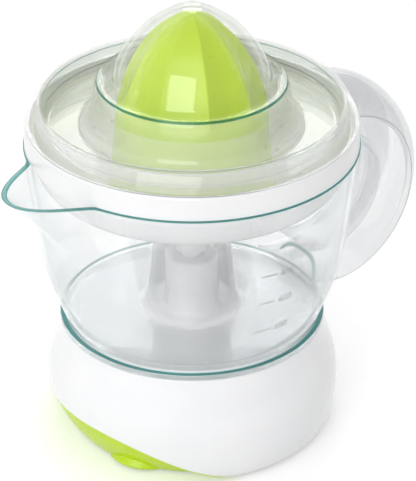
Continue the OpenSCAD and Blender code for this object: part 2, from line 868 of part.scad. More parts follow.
module tube_bore() {
    bore = beside(tube_side, jug_wall);
    rotate_extrude()
        polygon(concat(
            [[0, jug_seat - 5], [tube_foot_r + 1, jug_seat - 5], [tube_foot_r + 1, jug_floor_z]],
            [for (p = bore) if (p.y > jug_floor_z + 3) p],
            [[tube_top_r - jug_wall, tube_top_z + 10], [0, tube_top_z + 10]]
        ));
}
function spout_bell(a) = (1 + cos(180 * a / spout_half_angle)) / 2;
// A wedge under the spout's lip, which fits the jug's side below it and is drawn in by d
module spout_solid(d, top) {
    steps = 9;
    side = 12;
    skin([
        for (k = [0 : steps])
            let (
                u = k / steps,
                z = jug_rim_z - spout_depth * (1 - u) + top * (k == steps ? 1 : 0),
                wall = lookup(z, [for (p = jug_side) [p.y, p.x]]) - d
            )
            concat(
                [for (i = [-side : side])
                    let (
                        a = i * spout_half_angle / side,
                        r = wall - 0.9 + (spout_reach + 0.9) * spout_bell(a) * pow(u, 1.5)
                    )
                    [-r * cos(a), -r * sin(a), z]],
                [for (s = [-1, 1]) [-wall * 0.8 * cos(14), s * wall * 0.8 * sin(14), z]]
            )
    ]);
}
module jug() {
    color(clear)
        difference() {
            union() {
                jug_outside();
                spout_solid(0, 0);
            }
            jug_inside();
            tube_bore();
            spout_solid(jug_wall, 3);
        }
}

handle_centre_z = jug_seat + handle_z;
ring_half_w = 12;
// A ring of the outer band's section at the angle a from +X, crowned outside and level inside
function band_ring(a) =
    let (
        crown = handle_crown + handle_crown_lift * sin(a),
        width = handle_half_w,
        n = 9
    )
    concat(
        [for (i = [-n : n])
            let (y = width * sin(90 * i / n), r = handle_edge_r + crown * cos(90 * i / n))
            [handle_x + r * cos(a), y, handle_centre_z + r * sin(a)]],
        [for (i = [n : -1 : -n])
            let (
                y = (width - handle_wall) * sin(90 * i / n),
                r = handle_edge_r - handle_wall * 0.6 + (crown - handle_wall * 0.4) * cos(90 * i / n)
            )
            [handle_x + r * cos(a), y, handle_centre_z + r * sin(a)]]
    );
module jug_handle() {
    color(clear) {
        difference() {
            skin([for (a = [-116 : 8 : 116]) band_ring(a)], strip = true);
            jug_shadow();
        }
        difference() {
            translate([handle_x, 0, handle_centre_z])
                rotate([-90, 0, 0])
                    difference() {
                        union() {
                            translate([0, -handle_crown_lift, -handle_wall / 2])
                                cylinder(r = handle_edge_r + handle_crown - 1.2, h = handle_wall);
                            translate([0, 0, -ring_half_w])
                                cylinder(r = finger_r + 2.2, h = 2 * ring_half_w);
                        }
                        translate([0, 0, -handle_half_w])
                            cylinder(r = finger_r, h = 2 * handle_half_w);
                    }
            jug_shadow();
        }
    }
}
// What the handle must keep out of: the jug, and the pieces that drop in above its rim
module jug_shadow() {
    rotate_extrude()
        polygon(concat(
            [[0, jug_seat], [base_top_r + run_gap, jug_seat], [base_top_r + run_gap, jug_floor_z]],
            [for (p = jug_side) [p.x + run_gap, p.y]],
            [[rim_r + 1, jug_rim_z], [rim_r + 1, jug_rim_z + jug_h], [0, jug_rim_z + jug_h]]
        ));
}

// ---------------------------------------------------------------- strainer, reamers and lid

band_z = jug_rim_z + seat_gap;
band_top = band_z + band_h;
// The strainer's upper face from its band down to its hub
hub_r = 13;
hub_bore = collar_r + 2.6;
// The collar under the strainer, which keeps it centred on the jug's tube
collar_h = 7;
collar_in = tube_r(bowl_z - collar_h) + seat_gap;
strainer_face = concat(
    [[rim_r - 2.9, band_top], [rim_r - 3.4, jug_rim_z - 2]],
    smooth([[bowl_r + 3.2, jug_rim_z - 10], [bowl_r - 1, bowl_z + 9.2], [bowl_r - 12, bowl_z + 4.6]], 4),
    [[reamer_r + 1.5, bowl_z], [22, bowl_z], [hub_r + 1, bowl_z + 1]],
    [[hub_r, bowl_z + 2.2], [hub_r, bowl_z + 7]]
);
module strainer() {
    color(white)
        difference() {
            union() {
                rotate_extrude()
                    polygon(concat(
                        strainer_face, [[hub_bore, bowl_z + 7], [hub_bore, bowl_z - strainer_wall]],
                        [[reamer_r + 1, bowl_z - strainer_wall]],
                        reverse([
                            for (p = beside(strainer_face, strainer_wall))
                                if (p.x > reamer_r + 4 && p.y < band_z - 6) p
                        ]),
                        [[rim_r - jug_wall - 0.8, jug_rim_z - 4], [rim_r - jug_wall - 0.8, band_z]],
                        [[rim_r - 0.6, band_z], [rim_r - 0.6, band_top - 0.8], [rim_r - 1, band_top]]
                    ));
                tube(collar_in, collar_in + 1.6, bowl_z - collar_h, collar_h + 0.5 - strainer_wall);
            }
            strainer_slots();
        }
}
module strainer_slots() {
    for (i = [0 : slot_count - 1])
        rotate([0, 0, i * 360 / slot_count]) {
            translate([bowl_r - 11, -slot_w / 2, bowl_z - 10])
                cube([9, slot_w, bowl_depth]);
            translate([bowl_r - 22.5, -slot_w / 2, bowl_z - 10])
                cube([8.5, slot_w, bowl_depth]);
        }
}

reamer_z = bowl_z + press_travel + 0.5;
reamer_top = reamer_z + reamer_h;
// The large reamer's outline from its lower edge to its tip, as shares of its radius and height
reamer_shape = [
    [1, 0], [0.955, 0.119], [0.916, 0.262], [0.874, 0.494], [0.795, 0.619],
    [0.676, 0.738], [0.5, 0.857], [0.29, 0.945], [0.053, 1]
];
reamer_side = smooth([for (p = reamer_shape) [p.x * reamer_r, reamer_z + p.y * reamer_h]], 3);
// Rings of a fluted cone over the outline p, whose flutes fade away below the height fade_z
module fluted(p, fade_z, share) {
    steps = rib_count * 10;
    skin([
        for (q = p)
            let (fade = min(1, max(0, (q.y - fade_z) / 9)))
            [for (i = [0 : steps - 1])
                let (
                    a = i * 360 / steps,
                    r = q.x * (1 - share * fade * pow(abs(sin(a * rib_count / 2)), 0.8))
                )
                [r * cos(a + rib_turn), r * sin(a + rib_turn), q.y]]
    ]);
}
// The small reamer sits inside the large one
small_z = reamer_z + 3.5;
small_r = reamer_r - 11;
small_h = reamer_h - 32;
small_shape = [[1, 0.04], [0.944, 0.308], [0.796, 0.577], [0.537, 0.827], [0.241, 0.962], [0.074, 1]];
small_side = smooth([for (p = small_shape) [p.x * small_r, small_z + p.y * small_h]], 3);
small_roof_z = small_z + small_h - 6;
socket_r = head_flats / 2 / cos(30) + 2.2;
// The large reamer's inside, which clears its flutes
reamer_inside = [
    for (p = beside(reamer_side, reamer_wall)) if (p.x > 6) [p.x * (1 - flute_share * 0.6), p.y - 1]
];
flange_t = 2.5;
flange_r = lookup(small_z + flange_t, [for (p = reamer_inside) [p.y, p.x]]) - seat_gap;
module large_reamer() {
    color(lime)
        difference() {
            union() {
                difference() {
                    fluted(reamer_side, reamer_z + 38, flute_share);
                    rotate_extrude()
                        polygon(concat(
                            [[0, reamer_z - 1], [reamer_r - reamer_wall, reamer_z - 1]],
                            reamer_inside, [[0, reamer_inside[len(reamer_inside) - 1].y]]
                        ));
                }
                intersection() {
                    tube(flange_r - 4.2, reamer_r - 2.5, small_z + flange_t + fit_gap, 2);
                    rotate_extrude()
                        polygon(concat([[0, reamer_z]], [for (p = reamer_side) [p.x - 1, p.y]]));
                }
            }
            for (a = [0 : 120 : 240])
                rotate([0, 0, a + 20])
                    translate([flange_r - 4.4, -2.3, small_z + 2])
                        cube([3.2, 4.6, 4]);
        }
}
module small_reamer() {
    color(lime) {
        difference() {
            union() {
                fluted(small_side, small_z, flute_share);
                translate([0, 0, small_z])
                    cylinder(r = flange_r, h = flange_t);
                for (a = [0 : 120 : 240])
                    rotate([0, 0, a + 20])
                        translate([flange_r - 5, -2, small_z + 2])
                            cube([3.2, 4, 2.2]);
            }
            rotate_extrude()
                polygon(concat(
                    [[0, small_z - 1], [small_r - 2.5, small_z - 1], [small_r - 2.5, small_z + 2]],
                    [for (p = small_side) if (p.x > 8) [p.x * 0.9 - reamer_wall, p.y - 1]],
                    [[0, small_roof_z]]
                ));
        }
        translate([0, 0, head_z + 2])
            difference() {
                cylinder(r = socket_r, h = small_roof_z + 0.2 - head_z - 2);
                translate([0, 0, -1])
                    cylinder(r = (head_flats / 2 + seat_gap) / cos(30), h = head_h + 1, $fn = 6);
            }
    }
}

lid_z = band_top + seat_gap;
lid_top = lid_z + lid_h;
// The lid's upper face from its lower edge over the crest and the dome to the apex
lid_face = concat(
    smooth([[rim_r - 1.1, lid_z], [rim_r - 2.4, lid_z + 3.5], [rim_r - 5.7, lid_z + 8.5],
        [rim_r - 7.6, lid_z + 9.6], [rim_r - 8.8, lid_z + 8.2]], 3),
    smooth([[rim_r - 9.3, lid_z + 1], [rim_r - 11, lid_z - 1.6], [rim_r - 13, lid_z - 2]], 2),
    smooth([[52, lid_z - 2], [49.4, lid_z - 1.4], [45.6, lid_z + 2.5],
        [ledge_r + 1, lid_z + ledge_h - 3]], 3),
    [[ledge_r, lid_z + ledge_h], [dome_r + 0.6, lid_z + ledge_h]],
    smooth([[dome_r - 1.2, lid_z + ledge_h + 1.5], [dome_r - 3.6, lid_z + ledge_h + 8],
        [dome_r - 8, lid_z + lid_h - 20], [dome_r - 16.5, lid_z + lid_h - 10.3], [10.6, lid_z + lid_h - 3.6],
        [4, lid_top - 0.5]], 3)
);
module lid() {
    under = [for (p = beside(lid_face, lid_wall)) p.x > rim_r - 4 ? [p.x, max(p.y, lid_z)] : p];
    color(clear) {
        rotate_extrude()
            polygon(concat(lid_face, [[0, lid_top - 0.5], [0, lid_top - 0.5 - lid_wall]], reverse(under)));
        tube(rim_r - 5.4, rim_r - 3.5, lid_z - 4.5, 7);
        translate([0, 0, lid_top - 1.5])
            cylinder(r = 3.9, h = 1.5);
    }
}

base_housing();
accent_trim();
base_plate();
foot_pads();
base_screws();
cord_grommet();
gear_deck();
deck_screws();
spindle_bush();
motor_stator();
shading_rings();
motor_coil();
coil_bobbin();
motor_brackets();
motor_screws();
idler_pin();
press_switch();
thrust_cup();
return_spring();
drive_spindle();
output_gear();
spindle_clip();
idler_gear();
motor_rotor();
motor_shaft();
motor_pinion();
jug();
jug_handle();
strainer();
small_reamer();
large_reamer();
lid();
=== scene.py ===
import json
import math

import bmesh
import bpy
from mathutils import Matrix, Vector


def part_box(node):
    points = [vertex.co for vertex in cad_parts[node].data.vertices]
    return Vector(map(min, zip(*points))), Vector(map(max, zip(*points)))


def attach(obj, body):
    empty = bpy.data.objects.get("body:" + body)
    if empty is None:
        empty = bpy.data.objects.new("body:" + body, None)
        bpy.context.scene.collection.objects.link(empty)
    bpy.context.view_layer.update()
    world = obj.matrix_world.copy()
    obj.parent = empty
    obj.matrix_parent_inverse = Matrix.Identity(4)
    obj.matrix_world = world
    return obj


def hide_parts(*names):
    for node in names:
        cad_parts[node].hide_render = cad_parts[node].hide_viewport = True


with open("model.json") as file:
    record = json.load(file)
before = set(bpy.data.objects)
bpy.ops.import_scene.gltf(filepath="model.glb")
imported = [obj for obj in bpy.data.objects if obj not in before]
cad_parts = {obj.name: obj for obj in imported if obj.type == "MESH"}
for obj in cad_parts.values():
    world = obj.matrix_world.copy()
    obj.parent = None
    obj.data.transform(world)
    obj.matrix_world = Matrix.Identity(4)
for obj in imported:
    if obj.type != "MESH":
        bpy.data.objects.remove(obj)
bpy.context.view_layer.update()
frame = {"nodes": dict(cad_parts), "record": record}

# Looks of the citrus press. Lengths are in millimetres, and profiles are (radius, height) round the reamer's
# axis; make_piece turns them into metres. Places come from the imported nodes' boxes.
MM = 0.001


def box(node):
    """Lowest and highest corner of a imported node, in millimetres."""
    low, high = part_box(node)
    return low / MM, high / MM


# ---------------------------------------------------------------- places from the frame
BASE_HIGH = box("base_housing")[1]
JUG_LOW, JUG_HIGH = box("jug")
STRAINER_LOW, STRAINER_HIGH = box("strainer")
REAMER_LOW, REAMER_HIGH = box("large_reamer")

BASE_R = BASE_HIGH.x
FOOT_Z = box("base_plate")[0].z
TOWER_TOP = BASE_HIGH.z
JUG_SEAT = JUG_LOW.z
RIM_Z = JUG_HIGH.z
RIM_R = JUG_HIGH.x
SPOUT_REACH = -JUG_LOW.x - RIM_R
REAMER_Z = REAMER_LOW.z
REAMER_TOP = REAMER_HIGH.z
LID_TOP = box("lid")[1].z
HANDLE_HALF_W = box("jug_handle")[1].y

# ---------------------------------------------------------------- sizes of the base
BASE_H = 53.0
BASE_WIDE_Z = 21.0
BASE_FOOT_R = 62.5
BASE_TOP_R = 60.8
BASE_NECK_POWER = 1.3       # above 1 the side stays wide for longer on its way up
BASE_WALL = 2.4
BASE_BRIM = 0.2             # rise of the brim that the jug's skirt stands over
DECK_R = 55.5               # of the raised face inside the brim
DECK_Z = BASE_H + 2.2
TOWER_R = 12.3
TOWER_FILLET = 4.0
SPINDLE_HOLE_R = 5.6
BUSH_HOLE_R = 7.2
BUSH_DEPTH = 14.0

ARCH_H = 21.5
ARCH_HALF_W = 61.0
ARCH_POWER = 3.0            # squareness of the arch, where 2 is an ellipse
TRIM_FOOT_R = 56.5
TRIM_TOP_R = 66.2
TRIM_SWELL = 0.7            # of the sloped face beyond a straight slope, as a share of its width
TRIM_SET_BACK = 0.8         # of the lip, inside the housing's face
TRIM_GAP = 0.1
TRIM_WALL = 2.0
TRIM_LIP_H = 1.6
TRIM_HALF_TURN = 82.4       # degrees on both sides of -X
LENS_ANGLE = math.radians(204.7)
LENS_HALF_W = 13.0
LENS_TOP = 6.5
LENS_BULGE = 3.9
LENS_SLOPE = 1.5

# ---------------------------------------------------------------- sizes of the jug and its handle
WALL = 2.2                  # of the jug
EDGE = 0.4                  # rounding of the clear parts' edges
EDGE_TURNS = (0, 0.5, 1.05, math.pi / 2)    # along that rounding at the jug's rim
SEAT_GAP = 0.3
JUG_FLOOR = JUG_SEAT + 2.7
JUG_CORNER_R = 3.0          # inside, between the wall and the floor
SKIRT_W = 4.0
SPOUT_DEPTH = 40.0
SPOUT_HALF_ANGLE = 25.5
SPOUT_BLEND = 2.2
TUBE_TOP = STRAINER_LOW.z + 4.7
TUBE_TOP_R = 16.4

MARK_ANGLE = math.radians(264)
MARK_SIZE = 5.0
MARK_RISE = 0.2
MARK_LEFT = 1.5             # from MARK_ANGLE to the first letter
UNIT_RISE = 9.0             # of the unit over the highest number
BAR_LENGTH = 8.0
BAR_HALF_W = 0.25

HANDLE_X = RIM_R - 2.8
HANDLE_Z = JUG_SEAT + 42.5
HANDLE_EDGE_R = 41.8
HANDLE_EDGE_W = 0.45        # of the flat strip along the band's edge
HANDLE_CROWN = 7.5
HANDLE_CROWN_LIFT = 7.0
HANDLE_WALL = 2.6
HANDLE_ARC = 15             # steps from the crown to the edge of the band
RIM_CLEARANCE = 1.0         # round the rim for what drops into it
HANDLE_REACH = 150          # degrees on both sides of +X within which it meets the jug
JUG_GAP = 0.05              # between the jug's wall and what is set on it
FINGER_R = 28.0
FINGER_RING_W = 2.2
FINGER_HALF_W = 12.0

# Painted refraction at the handle's lower end: sizes of an opaque teal tube laid on the jug's wall
ROOT_LINE_R = 1.1
ROOT_LINE_TIP_R = 0.05
ROOT_LINE_OUT = 1.25
ROOT_LINE_Z = 64.9
ROOT_LINE_DROPS = (5.5, 10.0)    # of its end behind the handle, and of its end in front
ROOT_LINE_TURN = -4.6            # degrees from +X
ROOT_LINE_HALF_TURN = 14.0

# ---------------------------------------------------------------- sizes of the reamer and the lid
REAMER_R = 38.0
REAMER_SHAPE = [(1, 0), (0.955, 0.119), (0.916, 0.262), (0.874, 0.494), (0.795, 0.619), (0.676, 0.738),
                (0.5, 0.857), (0.29, 0.945), (0.053, 1)]
RIBS = 9
RIB_TURN = math.radians(6.75)
FLUTE_SHARE = 0.1
FLUTE_FROM = REAMER_Z + 38
FLUTE_FADE = 9.0

LID_Z = STRAINER_HIGH.z + SEAT_GAP
LID_WALL_T = 2.0
LEDGE_R = 42.0
LEDGE_Z = LID_Z + 18.7
SPIGOT_R = RIM_R - 5.4
SPIGOT_W = 1.9
SPIGOT_H = 4.5


# ---------------------------------------------------------------- curves
def between(first, last, steps):
    """Evenly spaced values from first to last."""
    return [first + (last - first) * k / steps for k in range(steps + 1)]


def around(steps):
    """Evenly spaced angles for one turn."""
    return [2 * math.pi * k / steps for k in range(steps)]


def quarter(steps):
    """Evenly spaced angles from 0 to a right angle."""
    return [math.radians(90 / steps * k) for k in range(steps + 1)]


def bend(a, b, c, d, t):
    """A point between b and c of a smooth curve that comes from a and goes on to d."""
    square = 2 * a - 5 * b + 4 * c - d
    cube = 3 * b - a - 3 * c + d
    return 0.5 * (2 * b + (c - a) * t + square * t**2 + cube * t**3)


def smooth(points, steps):
    """Points of a smooth curve through the given ones, with steps between each two."""
    p = [Vector(q) for q in points]
    curve = []
    for i in range(len(p) - 1):
        before, after = p[max(i - 1, 0)], p[min(i + 2, len(p) - 1)]
        curve += [bend(before, p[i], p[i + 1], after, j / steps) for j in range(steps)]
    return curve + [p[-1]]


def beside(path, distance):
    """The path moved to the left of the way it runs."""
    moved = []
    for i, p in enumerate(path):
        way = (path[min(i + 1, len(path) - 1)] - path[max(i - 1, 0)]).normalized()
        moved.append(p + distance * Vector((-way.y, way.x)))
    return moved


def rounded(corners, steps=4):
    """A path through corners (x, y, radius), each corner with a radius turned into an arc."""
    path = []
    for i, corner in enumerate(corners):
        at = Vector(corner[:2])
        radius = corner[2] if len(corner) > 2 else 0
        if not radius or i in (0, len(corners) - 1):
            path.append(at)
            continue
        to_a = (Vector(corners[i - 1][:2]) - at).normalized()
        to_b = (Vector(corners[i + 1][:2]) - at).normalized()
        half = to_a.angle(to_b) / 2
        middle = at + (to_a + to_b).normalized() * radius / math.sin(half)
        start = at + to_a * radius / math.tan(half)
        end = at + to_b * radius / math.tan(half)
        for t in between(0, 1, steps):
            spoke = (start - middle).lerp(end - middle, t).normalized()
            path.append(middle + spoke * radius)
    return path


def lookup(x, pairs):
    """The value at x of a line through (x, value) pairs in rising order."""
    for (x0, y0), (x1, y1) in zip(pairs, pairs[1:]):
        if x <= x1:
            return y0 + (y1 - y0) * max(0.0, x - x0) / (x1 - x0)
    return pairs[-1][1]


def soft_floor(v, width):
    """v above width, 0 below -width, and a smooth turn between them."""
    if v <= -width:
        return 0.0
    return v if v >= width else (v + width) ** 2 / (4 * width)


# ---------------------------------------------------------------- mesh builders
def make_piece(name, points, faces, materials, slots=None, sharp=35):
    """A mesh piece from points in millimetres, smooth shaded with edges over the sharp angle left crisp."""
    mesh = bpy.data.meshes.new(name)
    mesh.from_pydata([Vector(p) * MM for p in points], [], faces)
    for material in materials:
        mesh.materials.append(material)
    if slots:
        mesh.polygons.foreach_set("material_index", slots)
    work = bmesh.new()
    work.from_mesh(mesh)
    bmesh.ops.recalc_face_normals(work, faces=work.faces)
    work.to_mesh(mesh)
    work.free()
    mesh.shade_smooth()
    mesh.set_sharp_from_angle(angle=math.radians(sharp))
    mesh.update()
    piece = bpy.data.objects.new(name, mesh)
    bpy.context.scene.collection.objects.link(piece)
    return piece


def stand_for(piece, body, slot, *nodes):
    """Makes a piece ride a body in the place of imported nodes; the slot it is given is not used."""
    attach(piece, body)
    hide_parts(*nodes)


def joined(rings):
    """The points of all rings, one after the other."""
    return [p for ring in rings for p in ring]


def net(rings, closed_way=True):
    """Quads between neighbouring closed rings of equal length."""
    count, size = len(rings), len(rings[0])
    faces = []
    for i in range(count if closed_way else count - 1):
        a, b = i * size, (i + 1) % count * size
        for j in range(size):
            k = (j + 1) % size
            faces.append((a + j, a + k, b + k, b + j))
    return faces


def spun(profile, angle):
    """The points of a profile, turned to an angle from +X."""
    return [(p.x * math.cos(angle), p.x * math.sin(angle), p.y) for p in profile]


def circle(p, steps, share=lambda angle: 1.0):
    """A profile's point carried round the axis, at a share of its radius that may change with the angle."""
    return [(p.x * share(a) * math.cos(a), p.x * share(a) * math.sin(a), p.y) for a in around(steps)]


def between_poles(rings, first, last):
    """Points and faces of a skin over rings, closed by a fan round a pole on the axis at both ends."""
    size = len(rings[0])
    points = joined(rings)
    first_pole, last_pole, last_ring = len(points), len(points) + 1, len(points) - size
    faces = net(rings, closed_way=False)
    faces += [(first_pole, (j + 1) % size, j) for j in range(size)]
    faces += [(last_pole, last_ring + j, last_ring + (j + 1) % size) for j in range(size)]
    return points + [(0, 0, first), (0, 0, last)], faces


# ---------------------------------------------------------------- nodes of materials
def feed(tree, node, inputs):
    """Gives the inputs of a node their constants, or the outputs of other nodes."""
    for key, value in inputs.items():
        if isinstance(value, bpy.types.NodeSocket):
            tree.links.new(value, node.inputs[key])
        else:
            node.inputs[key].default_value = value


def add(tree, kind, inputs=None, **properties):
    """A new node with its properties and inputs."""
    node = tree.nodes.new(kind)
    for key, value in properties.items():
        setattr(node, key, value)
    feed(tree, node, inputs or {})
    return node


def new_material(name):
    """A material with its node tree and its main shader."""
    material = bpy.data.materials.new(name)
    material.use_nodes = True
    tree = material.node_tree
    return material, tree, tree.nodes["Principled BSDF"]


def worked_out(tree, operation, *values):
    """The result of a Math node."""
    return add(tree, "ShaderNodeMath", dict(enumerate(values)), operation=operation).outputs["Value"]


def ranged(tree, value, ends):
    """value, carried from one range to another by a Map Range node."""
    names = ("From Min", "From Max", "To Min", "To Max")
    return add(tree, "ShaderNodeMapRange", {"Value": value, **dict(zip(names, ends))}).outputs["Result"]


def spread(tree, value, low, high):
    """Noise, which is mostly from 0.3 to 0.7, spread from low to high."""
    return ranged(tree, value, (0.3, 0.7, low, high))


def noise(tree, scale, detail=3, stretch=None):
    """Noise in the object's own space; scale counts per metre, and stretch changes it along each axis."""
    place = add(tree, "ShaderNodeTexCoord").outputs["Object"]
    if stretch:
        place = add(tree, "ShaderNodeMapping", {"Vector": place, "Scale": stretch}).outputs["Vector"]
    field = add(tree, "ShaderNodeTexNoise", {"Vector": place, "Scale": scale, "Detail": detail})
    return field.outputs["Fac"]


def blend_colour(tree, share, first, second):
    """The first colour where share is 0 and the second where it is 1."""
    inputs = {"Factor": share, "A": (*first, 1), "B": (*second, 1)}
    return add(tree, "ShaderNodeMix", inputs, data_type="RGBA").outputs["Result"]


def blend_shaders(tree, share, first, second):
    """A shader that is the first where share is 0 and the second where it is 1."""
    return add(tree, "ShaderNodeMixShader", {"Fac": share, 1: first.outputs[0], 2: second.outputs[0]})


def bump(tree, value, strength, height):
    """The normal of a surface that value raises by up to a height in metres."""
    inputs = {"Height": value, "Strength": strength, "Distance": height}
    return add(tree, "ShaderNodeBump", inputs).outputs["Normal"]


# ---------------------------------------------------------------- materials
def moulded(name, colour, second, roughness, grain=900, peel=0.25, coat=0.0, subsurface=0.0):
    """Moulded plastic: a faint cloud in the colour, uneven gloss and the orange peel of a polished tool."""
    material, tree, shader = new_material(name)
    cloud = spread(tree, noise(tree, 35, 2), 0, 1)
    feed(tree, shader, {
        "Base Color": blend_colour(tree, cloud, colour, second),
        "Roughness": spread(tree, noise(tree, 260, 4), *roughness),
        "Normal": bump(tree, noise(tree, grain, 2), peel, 0.00002),
        "IOR": 1.5,
        "Coat Weight": coat,
        "Coat Roughness": 0.03,
    })
    if subsurface:
        feed(tree, shader, {
            "Subsurface Weight": subsurface,
            "Subsurface Radius": (0.004, 0.004, 0.001),
            "Subsurface Scale": 1.0,
        })
    return material


def metal(name, colour, roughness, stretch):
    """Turned or drawn metal, whose grain runs along the axis where stretch is small."""
    material, tree, shader = new_material(name)
    grain = noise(tree, 1800, 3, stretch)
    dark = tuple(c * 0.8 for c in colour)
    feed(tree, shader, {
        "Base Color": blend_colour(tree, noise(tree, 120), colour, dark),
        "Roughness": spread(tree, grain, *roughness),
        "Normal": bump(tree, grain, 0.2, 0.00001),
        "Metallic": 1.0,
    })
    return material


def clear_plastic(name, tint, roughness, face, rim, bent=0.12, haze=0.0):
    """Clear moulded plastic. A share of the light is bent, and the rest is mirrored or goes straight on
    through, which gives it the face colour, or the rim colour where the wall is seen edge on. Haze is the
    share of white that moulding marks scatter."""
    material, tree, shader = new_material(name)
    feed(tree, shader, {
        "Base Color": (*tint, 1),
        "Transmission Weight": 1.0,
        "IOR": 1.46,
        "Roughness": spread(tree, noise(tree, 140), *roughness),
        "Normal": bump(tree, noise(tree, 45, 1), 0.12, 0.0002),
    })
    edge_on = add(tree, "ShaderNodeLayerWeight", {"Blend": 0.1}).outputs["Facing"]
    straight = add(tree, "ShaderNodeBsdfTransparent", {"Color": blend_colour(tree, edge_on, face, rim)})
    tilt = add(tree, "ShaderNodeLayerWeight", {"Blend": 0.5}).outputs["Facing"]
    # the mirrored share is small face on, and rises steeply where the wall is seen edge on
    mirrored = worked_out(tree, "MULTIPLY_ADD", worked_out(tree, "POWER", tilt, 5.0), 0.9, 0.035)
    mirror = add(tree, "ShaderNodeBsdfGlossy", {"Color": (1, 1, 1, 1), "Roughness": 0.03})
    body = blend_shaders(tree, bent, blend_shaders(tree, mirrored, straight, mirror), shader)
    if haze:
        milk = add(tree, "ShaderNodeBsdfDiffuse", {"Color": (0.9, 0.9, 0.9, 1)})
        body = blend_shaders(tree, haze, body, milk)
    shadow = add(tree, "ShaderNodeLightPath").outputs["Is Shadow Ray"]
    through = add(tree, "ShaderNodeBsdfTransparent", {"Color": (0.98, 0.98, 0.98, 1)})
    surface = blend_shaders(tree, shadow, body, through)
    feed(tree, tree.nodes["Material Output"], {"Surface": surface.outputs["Shader"]})
    return material


NO_TINT = (1.0, 1.0, 1.0)
POLISHED = (0.005, 0.02)
WORN = (0.03, 0.1)
FACE = (0.99, 0.991, 0.992)
RIM = (0.55, 0.61, 0.62)

WHITE = moulded("white_gloss", (0.84, 0.84, 0.85), (0.81, 0.815, 0.825), (0.10, 0.18), coat=0.4)
STRAINER_WHITE = moulded("white_strainer", (0.83, 0.83, 0.835), (0.80, 0.80, 0.81), (0.16, 0.26),
                         subsurface=0.1)
LIME = moulded("lime_gloss", (0.52, 0.71, 0.012), (0.48, 0.675, 0.009), (0.26, 0.38), coat=0.1,
               subsurface=0.06)
CLEAR = clear_plastic("clear_gloss", NO_TINT, POLISHED, FACE, RIM)
LID_CLEAR = clear_plastic("clear_lid", NO_TINT, POLISHED, (0.994, 0.994, 0.994), (0.90, 0.91, 0.915),
                          bent=0.06)
LID_WALL = clear_plastic("clear_lid_wall", (0.97, 0.99, 0.98), (0.01, 0.03), (0.955, 0.98, 0.96),
                         (0.80, 0.86, 0.84), bent=0.06, haze=0.05)
# Painted dark line: grey clear plastic for strips where an edge would mirror and bend its dark surroundings
# into a thin line
CLEAR_PAINTED_LINE = clear_plastic("clear_painted_line", (0.6, 0.62, 0.62), WORN, (0.42, 0.44, 0.45), (0.3, 0.33, 0.34))
CLEAR_HAZE = clear_plastic("clear_haze", NO_TINT, (0.03, 0.08), FACE, (0.94, 0.95, 0.95), bent=0.08,
                           haze=0.2)
CLEAR_MILK = clear_plastic("clear_milk", NO_TINT, (0.01, 0.04), (0.935, 0.935, 0.94), RIM, bent=0.14,
                           haze=0.1)
# Painted edge light: the plastic's own tint, deepened into a dark teal line for the strips where light runs
# out through the edge of a wall
CLEAR_PAINTED_EDGE = clear_plastic("clear_painted_edge", (0.05, 0.30, 0.28), WORN, (0.07, 0.30, 0.275), (0.04, 0.20, 0.19),
                           bent=0.25)
CLEAR_MARK = clear_plastic("clear_mark", (0.9, 0.93, 0.93), WORN, (0.86, 0.88, 0.885), RIM)
# Painted refraction: opaque teal for the line that the handle's lower end shows through the jug's wall
PAINTED_ROOT_TEAL = moulded("painted_edge_teal", (0.03, 0.27, 0.235), (0.025, 0.24, 0.21), (0.12, 0.2), coat=0.3)
NYLON = moulded("nylon", (0.72, 0.70, 0.62), (0.66, 0.64, 0.56), (0.4, 0.55), grain=2500, peel=0.5,
                subsurface=0.1)
BLACK = moulded("black_plastic", (0.012, 0.012, 0.014), (0.02, 0.02, 0.022), (0.35, 0.5), grain=2500,
                peel=0.5)
RUBBER = moulded("rubber", (0.02, 0.02, 0.022), (0.035, 0.035, 0.037), (0.65, 0.85), grain=3000, peel=0.8)
STEEL = metal("steel", (0.56, 0.57, 0.58), (0.25, 0.42), (1, 1, 0.08))
COPPER = metal("copper", (0.72, 0.33, 0.16), (0.28, 0.4), (1, 1, 12))
BRONZE = metal("bronze", (0.66, 0.46, 0.2), (0.3, 0.45), (1, 1, 1))

SLOT_MATERIALS = {
    "white_plastic": WHITE,
    "lime_plastic": LIME,
    "clear_plastic": CLEAR,
    "nylon": NYLON,
    "steel": STEEL,
    "copper": COPPER,
    "bronze": BRONZE,
    "rubber": RUBBER,
    "black_plastic": BLACK,
}

# Places of the materials in the pieces that are clear in more than one way
CLEAR_SLOT, PAINTED_EDGE_SLOT, HAZE_SLOT, PAINTED_LINE_SLOT, WALL_SLOT = range(5)


def dress_frame():
    """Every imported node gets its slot's material, or the strainer its own, and smooth shading."""
    for part in frame["record"]["subparts"]:
        node = frame["nodes"][part["node"]]
        material = SLOT_MATERIALS[part["material_slot"]]
        if part["node"] == "strainer":
            material = STRAINER_WHITE
        node.data.materials.clear()
        node.data.materials.append(material)
        node.data.shade_smooth()
        node.data.set_sharp_from_angle(angle=math.radians(30))


# ---------------------------------------------------------------- base
def base_side(z):
    """Radius of the base housing's outside at a height."""
    if z < BASE_WIDE_Z:
        share = (BASE_WIDE_Z - z) / (BASE_WIDE_Z - FOOT_Z)
        return BASE_FOOT_R + (BASE_R - BASE_FOOT_R) * math.sqrt(max(0.0, 1 - share**2))
    share = min(1.0, (z - BASE_WIDE_Z) / (BASE_H - BASE_WIDE_Z))
    return BASE_TOP_R + (BASE_R - BASE_TOP_R) * (1 + math.cos(math.pi * share**BASE_NECK_POWER)) / 2


def arch_top(y, margin):
    """Height of the arch over the trim at a distance y from the middle, drawn in by the margin."""
    half, height = ARCH_HALF_W - margin, ARCH_H - FOOT_Z - margin
    share = abs(y) / half
    return FOOT_Z if share >= 1 else FOOT_Z + height * (1 - share**ARCH_POWER)


def arch_on(radius_at, angle, margin=0.0):
    """Height where the arch crosses a turned surface at an angle from +X."""
    z = FOOT_Z
    if math.cos(angle) >= 0:
        return z
    rounds = 30
    for _ in range(rounds):
        z = 0.5 * (z + arch_top(radius_at(z) * math.sin(angle), margin))
    return z


